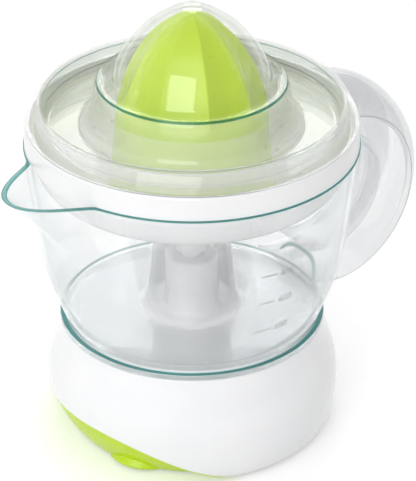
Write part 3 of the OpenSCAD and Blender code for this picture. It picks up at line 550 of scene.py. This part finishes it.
def base_piece():
    """Housing of the base: a bell whose lower edge rises over the trim, with the tower in its middle."""
    rise, lip = 44, 1.2
    side_top, brim_z, bush_z = BASE_H - 1.0, BASE_H + BASE_BRIM, TOWER_TOP - BUSH_DEPTH
    top = rounded([
        (BASE_TOP_R, side_top), (BASE_TOP_R - 0.2, brim_z, 0.6), (DECK_R + 0.8, brim_z, 0.5),
        (DECK_R, DECK_Z, 0.6), (TOWER_R + 5.7, DECK_Z),
    ])[1:]
    tower = [Vector((TOWER_R + TOWER_FILLET * (1 - math.sin(a)), DECK_Z + TOWER_FILLET * (1 - math.cos(a))))
             for a in quarter(6)]
    tower += rounded([
        (TOWER_R, TOWER_TOP - 5), (TOWER_R, TOWER_TOP, 1.2), (9, TOWER_TOP), (SPINDLE_HOLE_R, TOWER_TOP, 0.4),
        (SPINDLE_HOLE_R, TOWER_TOP - 1.5), (BUSH_HOLE_R, TOWER_TOP - 1.5), (BUSH_HOLE_R, bush_z),
    ], 5)[1:]
    inside = [Vector(p) for p in [
        (TOWER_R - BASE_WALL, bush_z), (TOWER_R - BASE_WALL, BASE_H - 0.2), (53, BASE_H - 1.9)]]
    columns = []
    for angle in around(360):
        low = arch_on(base_side, angle)
        foot = [Vector((base_side(low) - 1.2, low)), Vector((base_side(low + 0.35) - 0.35, low + 0.1)),
                Vector((base_side(low + 0.55) - 0.08, low + 0.5))]
        outer = [Vector((base_side(z), z)) for z in between(low + lip, side_top, rise)]
        back = [Vector((base_side(max(z, low)) - BASE_WALL, z))
                for z in (BASE_H - 5, 36, BASE_WIDE_Z + 2, low)]
        columns.append(spun(foot + outer + top + tower + inside + back, angle))
    piece = make_piece("base_shell", joined(columns), net(columns), [WHITE])
    stand_for(piece, "base", "white_plastic", "base_housing")


def trim_bulge(angle, z):
    """How far the lens-shaped bump stands out of the trim's face."""
    along = (angle - LENS_ANGLE) * TRIM_FOOT_R / LENS_HALF_W
    if abs(along) >= 1:
        return 0.0
    crest = FOOT_Z + (LENS_TOP - FOOT_Z) * (1 - along**2)
    return max(0.0, min(LENS_BULGE * (1 - along**2), (crest - z) * LENS_SLOPE))


def trim_piece():
    """The green crescent under the arch: a sloped face with a lens-shaped bump, and a lip along the arch."""
    def face_r(angle, z):
        t = (z - FOOT_Z) / (ARCH_H - FOOT_Z)
        slope = t + TRIM_SWELL * t * (1 - t)
        return TRIM_FOOT_R + (TRIM_TOP_R - TRIM_FOOT_R) * slope + trim_bulge(angle, z)

    rise = 40
    columns = []
    for angle in between(math.radians(180 - TRIM_HALF_TURN), math.radians(180 + TRIM_HALF_TURN), 300):
        high = arch_on(lambda z: base_side(z) - TRIM_SET_BACK, angle, TRIM_GAP)
        depth = min(1.0, (high - FOOT_Z) / 3)
        face = [Vector((face_r(angle, z), z)) for z in between(FOOT_Z, high - TRIM_LIP_H * depth, rise)]
        top_r = face[-1].x
        lip_r = max(base_side(high) - TRIM_SET_BACK - TRIM_GAP, top_r + 0.05)
        lip = [Vector((r, high - drop * depth))
               for r, drop in [(0.5 * (top_r + lip_r), 1.5), (lip_r - 0.2, 1.3), (lip_r, 0.9), (lip_r, 0)]]
        back = [Vector((top_r - TRIM_WALL, high)), Vector((TRIM_FOOT_R - TRIM_WALL, FOOT_Z))]
        columns.append(spun(face + lip + back, angle))
    points, size = joined(columns), len(columns[0])
    faces = net(columns, closed_way=False)
    faces += [tuple(range(size)), tuple(reversed(range(len(points) - size, len(points))))]
    piece = make_piece("trim_crescent", points, faces, [LIME])
    stand_for(piece, "base", "lime_plastic", "accent_trim")


# ---------------------------------------------------------------- jug
SIDE = [(p.y, p.x) for p in smooth([
    (58.6, JUG_FLOOR), (61.8, JUG_FLOOR + 10), (68.0, JUG_FLOOR + 29), (RIM_R - 2.8, RIM_Z - 26),
    (RIM_R, RIM_Z),
], 16)]
TUBE = smooth([
    (24.8, JUG_FLOOR + WALL), (20.8, JUG_FLOOR + 5), (18.3, JUG_FLOOR + 26), (TUBE_TOP_R, TUBE_TOP),
], 10)


def jug_side(z):
    """Radius of the jug's outside at a height, without the spout."""
    return lookup(z, SIDE)


def spout(angle, z):
    """How far the spout pushes the wall out; angle is from -X, in degrees."""
    u = (z - RIM_Z + SPOUT_DEPTH) / SPOUT_DEPTH
    if u <= 0 or abs(angle) >= SPOUT_HALF_ANGLE:
        return 0.0
    bell = (1 + math.cos(math.pi * angle / SPOUT_HALF_ANGLE)) / 2
    return soft_floor((SPOUT_REACH + SPOUT_BLEND) * bell * u**1.5 - SPOUT_BLEND, SPOUT_BLEND)


def wall_point(turn, z, depth):
    """A point of the jug's wall at a turn in degrees from -X, a depth inside its outer face."""
    def outer(t):
        r = jug_side(z) + spout(t, z)
        return Vector((-r * math.cos(math.radians(t)), -r * math.sin(math.radians(t)), z))

    at = outer(turn)
    if not depth:
        return at
    way = outer(turn + 0.2) - outer(turn - 0.2)
    inward = Vector((-way.y, way.x, 0)).normalized()
    if inward.dot(at) > 0:
        inward = -inward
    return at + inward * depth


def jug_piece():
    """The jug in one clear shell: wall with spout, floor, central tube and the skirt it stands on."""
    heights = [z for z, _ in SIDE if z < RIM_Z - 1.3] + [RIM_Z - 0.55]
    floor_top, middle_r = JUG_FLOOR + WALL, 40.0
    corner_z = floor_top + JUG_CORNER_R
    corner_x = jug_side(corner_z) - WALL - JUG_CORNER_R
    wall = [(z, 0.0) for z in heights]
    wall += [(RIM_Z - EDGE * (1 - math.sin(a)), EDGE * (1 - math.cos(a))) for a in EDGE_TURNS]
    wall += [(RIM_Z - EDGE * (1 - math.cos(a)), WALL - EDGE * (1 - math.sin(a))) for a in EDGE_TURNS]
    wall += [(z, WALL) for z in reversed(heights) if z > corner_z]
    floor = [Vector((corner_x + JUG_CORNER_R * math.cos(a), corner_z - JUG_CORNER_R * math.sin(a)))
             for a in quarter(6)]
    floor += [Vector((middle_r, floor_top))]
    tube = TUBE[:-1] + rounded([
        (TUBE_TOP_R, TUBE_TOP - 1), (TUBE_TOP_R, TUBE_TOP, EDGE), (TUBE_TOP_R - WALL, TUBE_TOP, EDGE),
        (TUBE_TOP_R - WALL, TUBE_TOP - 1),
    ], 3)[1:]
    bore = [Vector((p.x - WALL, p.y)) for p in reversed(TUBE) if JUG_FLOOR + 4 < p.y < TUBE_TOP - 1]
    skirt_in = BASE_TOP_R - SKIRT_W
    under = rounded([
        (20.5, JUG_FLOOR + 4), (22.4, JUG_FLOOR, 1.0), (middle_r, JUG_FLOOR), (skirt_in, JUG_FLOOR, 0.3),
        (skirt_in, JUG_SEAT, 0.3), (BASE_TOP_R, JUG_SEAT, 0.6), (BASE_TOP_R, JUG_FLOOR - 0.1, 0.5),
        (BASE_TOP_R - 2, JUG_FLOOR - 0.1),
    ], 3)
    rings = []
    for step in range(360):
        turn = step - 180.0
        rings.append([wall_point(turn, z, depth) for z, depth in wall]
                     + spun(floor + tube + bore + under, math.radians(turn + 180)))
    size = len(rings[0])
    # the rim and the step above the skirt take the painted teal edge line, and the tube is hazy
    rim = range(len(heights) - 1, len(heights) + 2 * len(EDGE_TURNS))
    corner = range(size - 3, size)
    hazy = range(len(wall) + len(floor), len(wall) + len(floor) + len(tube))
    ring_slots = [PAINTED_EDGE_SLOT if i in rim or i in corner else HAZE_SLOT if i in hazy else CLEAR_SLOT
                  for i in range(size)]
    materials = [CLEAR, CLEAR_PAINTED_EDGE, CLEAR_HAZE]
    slots = ring_slots * len(rings)
    piece = make_piece("jug_shell", joined(rings), net(rings), materials, slots, sharp=40)
    stand_for(piece, "jug", "clear_plastic", "jug")


def height_of(volume):
    """Height that a volume in millilitres fills the jug to."""
    z, held, step = JUG_FLOOR + WALL, 0.0, 0.5
    tube = sorted((p.y, p.x) for p in TUBE)
    while held < volume * 1000:
        held += math.pi * ((jug_side(z) - WALL)**2 - lookup(z, tube)**2) * step
        z += step
    return z


def text_mesh(label):
    """A label, as points (along, up, out) and faces, that starts at the origin and is level with it."""
    curve = bpy.data.curves.new("mark", "FONT")
    curve.body = label
    curve.size = MARK_SIZE
    curve.extrude = MARK_RISE / 2
    curve.align_x = "LEFT"
    curve.align_y = "CENTER"
    curve.resolution_u = 3
    holder = bpy.data.objects.new("mark", curve)
    bpy.context.scene.collection.objects.link(holder)
    mesh = bpy.data.meshes.new_from_object(holder.evaluated_get(bpy.context.evaluated_depsgraph_get()))
    points = [(v.co.x, v.co.y, v.co.z + MARK_RISE / 2) for v in mesh.vertices]
    shapes = [tuple(p.vertices) for p in mesh.polygons]
    bpy.data.objects.remove(holder)
    bpy.data.curves.remove(curve)
    bpy.data.meshes.remove(mesh)
    return points, shapes


def bar_mesh():
    """A level bar, as points (along, up, out) and faces, in pieces short enough to follow the jug's wall."""
    count = 12
    section = ((-BAR_HALF_W, 0), (-BAR_HALF_W, MARK_RISE), (BAR_HALF_W, MARK_RISE), (BAR_HALF_W, 0))
    rings = [[(along, up, out) for up, out in section] for along in between(0, BAR_LENGTH, count)]
    ends = [(0, 1, 2, 3), tuple(4 * count + k for k in (3, 2, 1, 0))]
    return joined(rings), net(rings, closed_way=False) + ends


def marks_piece():
    """Scale on the front of the jug: plain numbers and short lines, raised a little from its wall."""
    rows = [(str(volume), height_of(volume)) for volume in (200, 400, 600)]
    rows.append(("ml", rows[-1][1] + UNIT_RISE))
    points, faces = [], []

    def lay(shape, z, first):
        """Wraps flat points (along, up, out) round the jug's wall."""
        start = len(points)
        for along, up, out in shape[0]:
            r = jug_side(z + up) + JUG_GAP + out
            angle = MARK_ANGLE + (first + along) / r
            points.append((r * math.cos(angle), r * math.sin(angle), z + up))
        faces.extend(tuple(start + k for k in face) for face in shape[1])

    for label, z in rows:
        lay(text_mesh(label), z, MARK_LEFT)
        if label.isdigit():
            lay(bar_mesh(), z, -BAR_LENGTH)
    piece = make_piece("scale_marks", points, faces, [CLEAR_MARK], sharp=30)
    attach(piece, "jug")


# ---------------------------------------------------------------- handle
def keep_out_r(z):
    """Radius that the handle stays outside of, at a height: the jug, and above its rim what drops into it."""
    if z > RIM_Z + 0.02:
        return RIM_R + RIM_CLEARANCE
    return (jug_side(z) if z >= JUG_FLOOR else BASE_TOP_R) + JUG_GAP


def handle_section(angle):
    """Half of the handle's section at an angle, outside to inside: (distance from its centre, aside)."""
    crown = HANDLE_CROWN + HANDLE_CROWN_LIFT * math.sin(angle)
    inner_r, inner_crown = HANDLE_EDGE_R - 0.6 * HANDLE_WALL, crown - 0.4 * HANDLE_WALL
    turns = quarter(HANDLE_ARC)
    outer = [(HANDLE_EDGE_R + crown * math.cos(t), HANDLE_HALF_W * math.sin(t)) for t in turns]
    edge = [(HANDLE_EDGE_R - HANDLE_EDGE_W, HANDLE_HALF_W)]
    inner = [(inner_r + inner_crown * math.cos(t), (HANDLE_HALF_W - HANDLE_WALL) * math.sin(t))
             for t in reversed(turns[1:])]
    web = HANDLE_WALL / 2
    foot = inner[-1][0] - 0.4
    ring_r = FINGER_R + FINGER_RING_W
    ring = rounded([
        (foot, web + 0.9), (foot - 1.2, web, 0.8), (ring_r + 1.2, web), (ring_r, web + 1.2, 0.8),
        (ring_r, FINGER_HALF_W, 0.6), (FINGER_R, FINGER_HALF_W, 0.6), (FINGER_R, FINGER_HALF_W / 2),
        (FINGER_R, 0),
    ], 3)
    return [Vector(p) for p in outer + edge + inner] + ring


def handle_point(angle, line, side):
    """A point of the handle at an angle, on one of the lines of its section, on the side -1 or 1."""
    p = handle_section(angle)[line]
    return Vector((HANDLE_X + p.x * math.cos(angle), side * p.y, HANDLE_Z + p.x * math.sin(angle)))


def handle_limit(line, way):
    """The angle where a line of the handle's section meets the jug, downwards (-1) or upwards (1)."""
    def meets(angle):
        p = handle_point(angle, line, 1)
        return math.hypot(p.x, p.y) < keep_out_r(p.z)

    step, most = math.radians(2) * way, math.radians(HANDLE_REACH)
    outside = 0.0
    while abs(outside) < most and not meets(outside + step):
        outside += step
    inside = outside + step
    halvings = 18
    for _ in range(halvings):
        middle = (inside + outside) / 2
        if meets(middle):
            inside = middle
        else:
            outside = middle
    return outside


def end_strips(start, size):
    """Faces that close one end of the handle, in strips between the two sides of its section."""
    count = 2 * size - 2
    faces = [(start, start + 1, start + count - 1)]
    for k in range(1, size - 2):
        faces.append((start + k, start + k + 1, start + count - k - 1, start + count - k))
    faces.append((start + size - 2, start + size - 1, start + size))
    return faces


def handle_piece():
    """The handle: a crowned outer band, a thin web and a ring round the finger hole, cut to fit the jug."""
    steps = 72
    size = len(handle_section(0))
    ends = [(handle_limit(line, -1), handle_limit(line, 1)) for line in range(size)]
    order = [(line, 1) for line in range(size)] + [(line, -1) for line in reversed(range(1, size - 1))]
    rings = []
    for share in between(0, 1, steps):
        rings.append([handle_point(ends[line][0] + (ends[line][1] - ends[line][0]) * share, line, side)
                      for line, side in order])
    band = net(rings, closed_way=False)
    count = len(order)
    caps = end_strips(0, size) + end_strips(steps * count, size)
    # the narrow strips along the band's two edges take the second material, a painted dark line for the
    # surroundings that the edge mirrors and bends
    strips = (HANDLE_ARC, count - 1 - HANDLE_ARC)
    slots = [1 if i % count in strips else 0 for i in range(len(band))] + [0] * len(caps)
    materials = [CLEAR_MILK, CLEAR_PAINTED_LINE]
    piece = make_piece("handle_shell", joined(rings), band + caps, materials, slots, sharp=40)
    stand_for(piece, "jug", "clear_plastic", "jug_handle")


def handle_root():
    """Painted refraction: a thin opaque teal tube on the jug's wall where the handle's lower end meets it,
    standing in for the teal line that this end shows through the wall.
    """
    steps, sides = 40, 10
    path = []
    for u in between(1, -1, steps):
        angle = math.radians(ROOT_LINE_TURN + ROOT_LINE_HALF_TURN * u)
        z = ROOT_LINE_Z - ROOT_LINE_DROPS[0 if u > 0 else 1] * u**4
        out = Vector((math.cos(angle), math.sin(angle), 0))
        path.append((out * (keep_out_r(z) + ROOT_LINE_OUT) + Vector((0, 0, z)), out, u))
    rings = []
    for k, (p, out, u) in enumerate(path):
        along = (path[min(k + 1, steps)][0] - path[max(k - 1, 0)][0]).normalized()
        aside = along.cross(out).normalized()
        r = ROOT_LINE_R * math.sqrt(max(0.0, 1 - u**8)) + ROOT_LINE_TIP_R
        rings.append([p + r * (math.cos(t) * out + math.sin(t) * aside) for t in around(sides)])
    faces = net(rings, closed_way=False)
    faces += [tuple(range(sides)), tuple(reversed(range(steps * sides, (steps + 1) * sides)))]
    piece = make_piece("handle_root", joined(rings), faces, [PAINTED_ROOT_TEAL], sharp=60)
    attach(piece, "jug")


# ---------------------------------------------------------------- reamer and lid
def fluted(z, angle):
    """Share of the radius that the flutes leave at a height and an angle; they fade out downwards."""
    fade = min(1.0, max(0.0, (z - FLUTE_FROM) / FLUTE_FADE))
    fade = fade * fade * (3 - 2 * fade)
    flute = abs(math.sin((angle - RIB_TURN) * RIBS / 2))
    return 1 - FLUTE_SHARE * fade * flute**0.8


def reamer_piece():
    """The large reamer: a hollow cone with sharp ribs, plain below, whose flutes fade out."""
    steps = 360
    height = REAMER_TOP - REAMER_Z
    profile = smooth([(REAMER_R * wide, REAMER_Z + height * high) for wide, high in REAMER_SHAPE], 9)
    taper, wall, roof = 0.93, 1.2, 1.6
    inside = [Vector((p.x * taper - wall, p.y - roof)) for p in reversed(profile) if p.x > 5]
    inside[-1].y = REAMER_Z
    rings = [circle(p, steps) for p in inside]
    rings += [circle(p, steps, lambda angle: fluted(p.y, angle)) for p in profile]
    points, faces = between_poles(rings, inside[0].y, REAMER_TOP)
    piece = make_piece("reamer_cone", points, faces, [LIME], sharp=60)
    stand_for(piece, "reamer", "lime_plastic", "large_reamer")


def lid_piece():
    """The lid in one clear shell: outer roll, trough, ledge and dome, with a spigot in the strainer."""
    r, z, top, steps = RIM_R, LID_Z, LID_TOP, 240
    roll = smooth([
        (r - 1.1, z), (r - 2.4, z + 3.5), (r - 5.7, z + 8.5), (r - 7.6, z + 9.6), (r - 8.8, z + 8.2),
    ], 7)
    step = [Vector((r - 8.82, z + 7.85)), Vector((r - 9.27, z + 1.4))]
    trough = smooth([(r - 9.3, z + 1), (r - 11, z - 1.6), (r - 13, z - 2)], 5)
    riser = smooth([(52, z - 2), (49.4, z - 1.4), (45.6, z + 2.5), (LEDGE_R + 1, LEDGE_Z - 3)], 6)
    ledge = [Vector((LEDGE_R + 0.25, LEDGE_Z - 1.1))]
    ledge += rounded([
        (LEDGE_R + 0.3, LEDGE_Z - 1.5), (LEDGE_R, LEDGE_Z, 0.35), (37.3, LEDGE_Z), (36.2, LEDGE_Z + 0.8),
    ], 3)[1:-1]
    dome = smooth([
        (35.5, LEDGE_Z + 1.5), (33.1, LEDGE_Z + 8), (28.7, top - 20), (20.2, top - 10.3), (10.6, top - 3.6),
        (4.4, top - 0.6),
    ], 8)
    knob = [Vector(p) for p in [(3.9, top - 0.25), (3.6, top), (2.4, top), (1.8, top - 0.3)]]
    upper = roll + step + trough + riser + ledge + dome
    under = [p for p in beside(upper, LID_WALL_T) if p.x < SPIGOT_R - 0.2]
    spigot = rounded([
        (SPIGOT_R, z + 3), (SPIGOT_R, z - SPIGOT_H, 0.4), (SPIGOT_R + SPIGOT_W, z - SPIGOT_H, 0.4),
        (SPIGOT_R + SPIGOT_W, z), (r - 1.1, z),
    ], 3)[1:-1]
    loop = under[::-1] + spigot + upper + knob

    def slot_of(p):
        """The corners show the plastic's edge as a painted teal edge line and a painted dark line, and the
        roll and the wall below the ledge are hazy.
        """
        for at, slot in zip([roll[-1], *step], (PAINTED_EDGE_SLOT, WALL_SLOT, PAINTED_LINE_SLOT)):
            if (p - at).length < 0.02:
                return slot
        if p.x > LEDGE_R - 0.25 and LEDGE_Z - 1.15 < p.y < LEDGE_Z + 0.1:
            return PAINTED_EDGE_SLOT
        # the lip under the roll takes the painted dark line
        if p.x > r - 1.3 and p.y < z + 0.3:
            return PAINTED_LINE_SLOT
        on_riser = LEDGE_R < p.x < LEDGE_R + 7.5 and p.y < LEDGE_Z - 1
        on_roll = p.x > r - 8.7 and p.y > z + 0.5
        return HAZE_SLOT if on_riser or on_roll else CLEAR_SLOT

    points, faces = between_poles([circle(p, steps) for p in loop], top - 2.6, top - 0.45)
    slots = [slot_of(p) for p in loop[:-1] for _ in range(steps)] + [CLEAR_SLOT] * (2 * steps)
    materials = [LID_CLEAR, CLEAR_PAINTED_EDGE, CLEAR_HAZE, CLEAR_PAINTED_LINE, LID_WALL]
    piece = make_piece("lid_shell", points, faces, materials, slots, sharp=40)
    stand_for(piece, "lid", "clear_plastic", "lid")


# ---------------------------------------------------------------- studio
def seen_rays(tree):
    """The light path, and 1 for the rays that come from the camera, straight or through something clear."""
    path = add(tree, "ShaderNodeLightPath").outputs
    direct = worked_out(tree, "LESS_THAN", path["Diffuse Depth"], 0.5)
    through = worked_out(tree, "MULTIPLY", direct, path["Is Transmission Ray"])
    return path, worked_out(tree, "MAXIMUM", path["Is Camera Ray"], through)


def pale_floor():
    """Pale floor that keeps the shadow, and is lifted a little where it is looked at."""
    bpy.ops.mesh.primitive_plane_add(size=8, location=(0, 0, 0))
    plane = bpy.context.object
    plane.name = "floor"
    material, tree, shader = new_material("floor_white")
    feed(tree, shader, {"Base Color": (0.8, 0.8, 0.8, 1), "Roughness": 0.9, "Specular IOR Level": 0.1})
    path, seen = seen_rays(tree)
    either = worked_out(tree, "MAXIMUM", seen, path["Is Glossy Ray"])
    lift = 0.3
    glow = add(tree, "ShaderNodeEmission", {"Strength": worked_out(tree, "MULTIPLY", either, lift)})
    both = add(tree, "ShaderNodeAddShader", {0: shader.outputs["BSDF"], 1: glow.outputs["Emission"]})
    feed(tree, tree.nodes["Material Output"], {"Surface": both.outputs["Shader"]})
    plane.data.materials.append(material)


def surround():
    """White surround: plain where it is looked at, and as a light darker on the right and above."""
    world = bpy.data.worlds.new("surround")
    world.use_nodes = True
    bpy.context.scene.world = world
    tree = world.node_tree
    place = add(tree, "ShaderNodeTexCoord").outputs["Generated"]
    dark_way = Vector((0.6, -0.5, 0.6)).normalized()
    along = add(tree, "ShaderNodeVectorMath", {0: place, 1: dark_way}, operation="DOT_PRODUCT")
    bright, dark = 0.95, 0.63
    level = ranged(tree, along.outputs["Value"], (-0.2, 0.9, bright, dark))
    seen = seen_rays(tree)[1]
    strength = add(tree, "ShaderNodeMix", {"Factor": seen, "A": level, "B": 1.0}, data_type="FLOAT")
    feed(tree, tree.nodes["Background"], {"Color": (1, 1, 1, 1), "Strength": strength.outputs["Result"]})


def lamp(name, at, size, power):
    """A square lamp turned to the middle of the press; places and sizes are in metres."""
    light = bpy.data.lights.new(name, "AREA")
    light.shape = "RECTANGLE"
    light.size = size
    light.size_y = size
    light.energy = power
    holder = bpy.data.objects.new(name, light)
    holder.location = at
    holder.rotation_euler = (Vector((0, 0, 0.09)) - Vector(at)).to_track_quat("-Z", "Y").to_euler()
    bpy.context.scene.collection.objects.link(holder)


def camera():
    """The view that the photograph was taken from."""
    azimuth, elevation, distance = math.radians(-37.0), math.radians(30.07), 1.1
    aim = Vector((0, 0, 0.0896))
    flat = math.cos(elevation)
    back = Vector((math.sin(azimuth) * flat, -math.cos(azimuth) * flat, math.sin(elevation)))
    data = bpy.data.cameras.new("camera")
    data.lens = 181.2
    data.sensor_width = 36.0
    data.shift_x = 0.0335
    holder = bpy.data.objects.new("camera", data)
    holder.location = aim + back * distance
    holder.rotation_euler = (-back).to_track_quat("-Z", "Y").to_euler()
    bpy.context.scene.collection.objects.link(holder)
    bpy.context.scene.camera = holder


dress_frame()
base_piece()
trim_piece()
jug_piece()
marks_piece()
handle_piece()
handle_root()
reamer_piece()
lid_piece()
pale_floor()
surround()
lamp("key", (-1.15, -0.85, 0.8), 1.1, 10)
lamp("fill", (0.7, 0.9, 1.0), 0.8, 4)
camera()
bpy.context.scene.view_settings.view_transform = "Standard"
